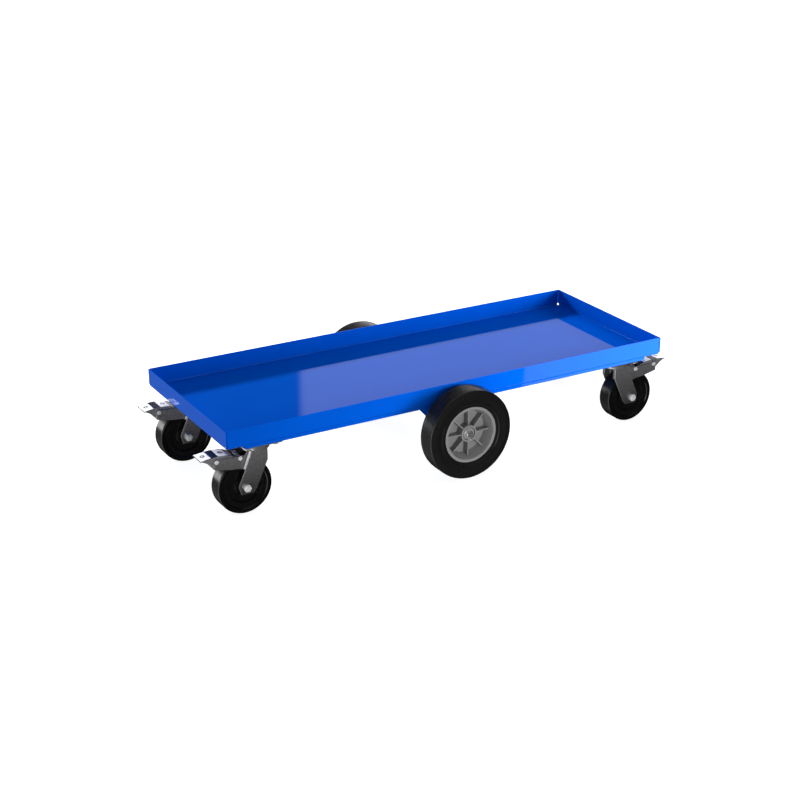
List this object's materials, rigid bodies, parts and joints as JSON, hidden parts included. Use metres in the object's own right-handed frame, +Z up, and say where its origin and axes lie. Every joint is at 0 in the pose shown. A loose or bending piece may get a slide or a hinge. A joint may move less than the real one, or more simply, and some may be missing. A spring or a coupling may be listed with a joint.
{
  "type": "platform cart",
  "caption": "Low platform truck with a shallow steel tray deck, large fixed side wheels at mid-length and braked swivel casters at the ends.",
  "frame": {"origin": "on the floor under the middle of the deck", "axes": "+X along the deck's length towards the front, +Y across it to the left, +Z up"},
  "size_m": [1.4784, 0.65, 0.258],
  "materials": {
    "blue_paint": "gloss powder coat",
    "zinc_steel": "bright zinc plate, pressed sheet",
    "bright_fastener": "bright zinc plate, machined",
    "axle_steel": "ground bar",
    "tyre_rubber": "moulded rubber",
    "hub_plastic": "moulded grey plastic",
    "wheel_rubber": "hard rubber, semi-gloss",
    "wheel_plastic": "moulded black plastic",
    "pedal_steel": "zinc plate with dark and white painted bands",
    "bearing_steel": "polished bearing steel"
  },
  "bodies": {
    "chassis": {"deck_tray": "blue_paint", "side_rail_left": "blue_paint", "side_rail_right": "blue_paint", "axle_bracket_left": "blue_paint", "axle_bracket_right": "blue_paint", "axle_shaft": "axle_steel", "axle_washers": "bright_fastener", "cotter_pins": "bright_fastener", "caster_bolts": "bright_fastener", "king_pins": "bright_fastener", "caster_plate_front_left": "zinc_steel", "caster_plate_front_right": "zinc_steel", "caster_plate_rear_left": "zinc_steel", "caster_plate_rear_right": "zinc_steel"},
    "main_wheel_left": {"tyre_left": "tyre_rubber", "hub_left": "hub_plastic", "hub_bearings_left": "bearing_steel"},
    "main_wheel_right": {"tyre_right": "tyre_rubber", "hub_right": "hub_plastic", "hub_bearings_right": "bearing_steel"},
    "swivel_front_left": {"fork_front_left": "zinc_steel", "swivel_bearing_front_left": "bearing_steel", "wheel_bolt_front_left": "bright_fastener", "brake_bracket_front_left": "zinc_steel", "brake_pins_front_left": "bright_fastener"},
    "wheel_front_left": {"wheel_tread_front_left": "wheel_rubber", "wheel_core_front_left": "wheel_plastic", "wheel_bearing_front_left": "bearing_steel"},
    "pedal_front_left": {"brake_pedal_front_left": "pedal_steel"},
    "shoe_front_left": {"brake_shoe_front_left": "zinc_steel"},
    "swivel_front_right": {"fork_front_right": "zinc_steel", "swivel_bearing_front_right": "bearing_steel", "wheel_bolt_front_right": "bright_fastener", "brake_bracket_front_right": "zinc_steel", "brake_pins_front_right": "bright_fastener"},
    "wheel_front_right": {"wheel_tread_front_right": "wheel_rubber", "wheel_core_front_right": "wheel_plastic", "wheel_bearing_front_right": "bearing_steel"},
    "pedal_front_right": {"brake_pedal_front_right": "pedal_steel"},
    "shoe_front_right": {"brake_shoe_front_right": "zinc_steel"},
    "swivel_rear_left": {"fork_rear_left": "zinc_steel", "swivel_bearing_rear_left": "bearing_steel", "wheel_bolt_rear_left": "bright_fastener", "brake_bracket_rear_left": "zinc_steel", "brake_pins_rear_left": "bright_fastener"},
    "wheel_rear_left": {"wheel_tread_rear_left": "wheel_rubber", "wheel_core_rear_left": "wheel_plastic", "wheel_bearing_rear_left": "bearing_steel"},
    "pedal_rear_left": {"brake_pedal_rear_left": "pedal_steel"},
    "shoe_rear_left": {"brake_shoe_rear_left": "zinc_steel"},
    "swivel_rear_right": {"fork_rear_right": "zinc_steel", "swivel_bearing_rear_right": "bearing_steel", "wheel_bolt_rear_right": "bright_fastener", "brake_bracket_rear_right": "zinc_steel", "brake_pins_rear_right": "bright_fastener"},
    "wheel_rear_right": {"wheel_tread_rear_right": "wheel_rubber", "wheel_core_rear_right": "wheel_plastic", "wheel_bearing_rear_right": "bearing_steel"},
    "pedal_rear_right": {"brake_pedal_rear_right": "pedal_steel"},
    "shoe_rear_right": {"brake_shoe_rear_right": "zinc_steel"}
  },
  "joints": [
    {"name": "main_wheel_left_spin", "type": "hinge", "parent": "chassis", "child": "main_wheel_left", "pos_m": [0, 0.294, 0.127], "axis": [0, 1, 0], "continuous": true},
    {"name": "main_wheel_right_spin", "type": "hinge", "parent": "chassis", "child": "main_wheel_right", "pos_m": [0, -0.294, 0.127], "axis": [0, 1, 0], "continuous": true},
    {"name": "swivel_front_left_turn", "type": "hinge", "parent": "chassis", "child": "swivel_front_left", "pos_m": [0.576, 0.1894, 0.1815], "axis": [0, 0, 1], "continuous": true},
    {"name": "wheel_front_left_spin", "type": "hinge", "parent": "swivel_front_left", "child": "wheel_front_left", "pos_m": [0.618, 0.1894, 0.0762], "axis": [0, 1, 0], "continuous": true},
    {"name": "pedal_front_left_press", "type": "hinge", "parent": "swivel_front_left", "child": "pedal_front_left", "pos_m": [0.697, 0.1894, 0.163], "axis": [0, 1, 0], "range_deg": [0, 15]},
    {"name": "shoe_front_left_swing", "type": "hinge", "parent": "swivel_front_left", "child": "shoe_front_left", "pos_m": [0.631, 0.1894, 0.16], "axis": [0, 1, 0], "range_deg": [0, 1.8]},
    {"name": "swivel_front_right_turn", "type": "hinge", "parent": "chassis", "child": "swivel_front_right", "pos_m": [0.576, -0.1894, 0.1815], "axis": [0, 0, 1], "continuous": true},
    {"name": "wheel_front_right_spin", "type": "hinge", "parent": "swivel_front_right", "child": "wheel_front_right", "pos_m": [0.618, -0.1894, 0.0762], "axis": [0, 1, 0], "continuous": true},
    {"name": "pedal_front_right_press", "type": "hinge", "parent": "swivel_front_right", "child": "pedal_front_right", "pos_m": [0.697, -0.1894, 0.163], "axis": [0, 1, 0], "range_deg": [0, 15]},
    {"name": "shoe_front_right_swing", "type": "hinge", "parent": "swivel_front_right", "child": "shoe_front_right", "pos_m": [0.631, -0.1894, 0.16], "axis": [0, 1, 0], "range_deg": [0, 1.8]},
    {"name": "swivel_rear_left_turn", "type": "hinge", "parent": "chassis", "child": "swivel_rear_left", "pos_m": [-0.576, 0.1894, 0.1815], "axis": [0, 0, 1], "continuous": true},
    {"name": "wheel_rear_left_spin", "type": "hinge", "parent": "swivel_rear_left", "child": "wheel_rear_left", "pos_m": [-0.618, 0.1894, 0.0762], "axis": [0, 1, 0], "continuous": true},
    {"name": "pedal_rear_left_press", "type": "hinge", "parent": "swivel_rear_left", "child": "pedal_rear_left", "pos_m": [-0.697, 0.1894, 0.163], "axis": [0, -1, 0], "range_deg": [0, 15]},
    {"name": "shoe_rear_left_swing", "type": "hinge", "parent": "swivel_rear_left", "child": "shoe_rear_left", "pos_m": [-0.631, 0.1894, 0.16], "axis": [0, -1, 0], "range_deg": [0, 1.8]},
    {"name": "swivel_rear_right_turn", "type": "hinge", "parent": "chassis", "child": "swivel_rear_right", "pos_m": [-0.576, -0.1894, 0.1815], "axis": [0, 0, 1], "continuous": true},
    {"name": "wheel_rear_right_spin", "type": "hinge", "parent": "swivel_rear_right", "child": "wheel_rear_right", "pos_m": [-0.618, -0.1894, 0.0762], "axis": [0, 1, 0], "continuous": true},
    {"name": "pedal_rear_right_press", "type": "hinge", "parent": "swivel_rear_right", "child": "pedal_rear_right", "pos_m": [-0.697, -0.1894, 0.163], "axis": [0, -1, 0], "range_deg": [0, 15]},
    {"name": "shoe_rear_right_swing", "type": "hinge", "parent": "swivel_rear_right", "child": "shoe_rear_right", "pos_m": [-0.631, -0.1894, 0.16], "axis": [0, -1, 0], "range_deg": [0, 1.8]}
  ],
  "couplings": [
    {"joint": "shoe_front_left_swing", "follows": "pedal_front_left_press", "ratio": 0.12},
    {"joint": "shoe_front_right_swing", "follows": "pedal_front_right_press", "ratio": 0.12},
    {"joint": "shoe_rear_left_swing", "follows": "pedal_rear_left_press", "ratio": 0.12},
    {"joint": "shoe_rear_right_swing", "follows": "pedal_rear_right_press", "ratio": 0.12}
  ]
}
